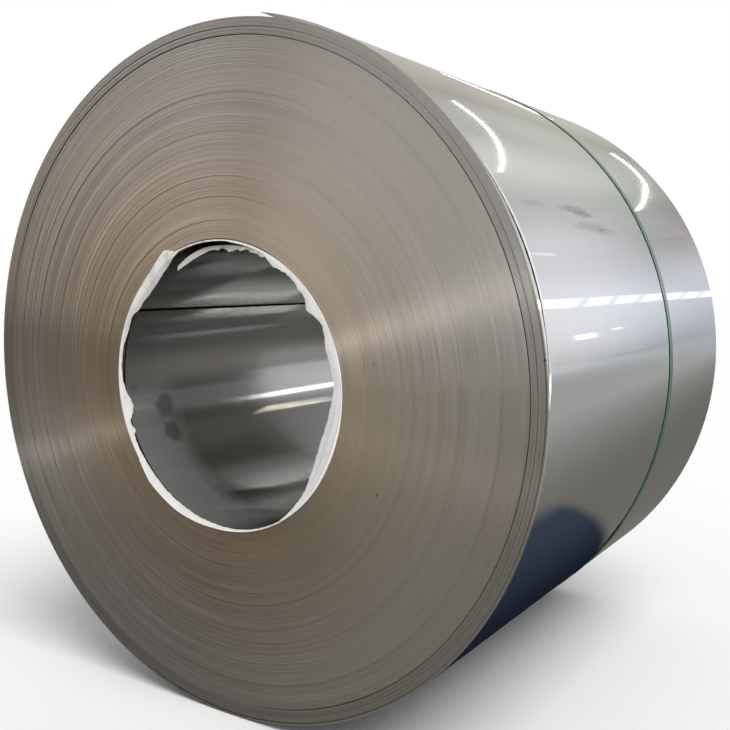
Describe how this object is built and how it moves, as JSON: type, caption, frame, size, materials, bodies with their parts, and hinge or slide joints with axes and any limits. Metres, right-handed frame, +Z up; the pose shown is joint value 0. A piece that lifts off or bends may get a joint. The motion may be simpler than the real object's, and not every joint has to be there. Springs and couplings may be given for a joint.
{
  "type": "steel coil",
  "caption": "Coil of bright cold-rolled steel strip with an open bore, held by a plastic strap, with a torn paper collar in the mouth of the bore",
  "frame": {"origin": "on the floor, under the middle of the coil", "axes": "+Y along the bore, from the end with the paper collar to the other end; +Z up; +X to the right as seen from the end with the collar"},
  "size_m": [1.2265, 1.0064, 1.2254],
  "materials": {
    "strip_steel": "bright rolled strip, duller on the wound edges",
    "strap_plastic": "glossy green polyester",
    "collar_paper": "plain white wrapping paper"
  },
  "bodies": {
    "root": {"coil": "strip_steel", "strap": "strap_plastic", "bore_paper": "collar_paper"}
  },
  "joints": []
}
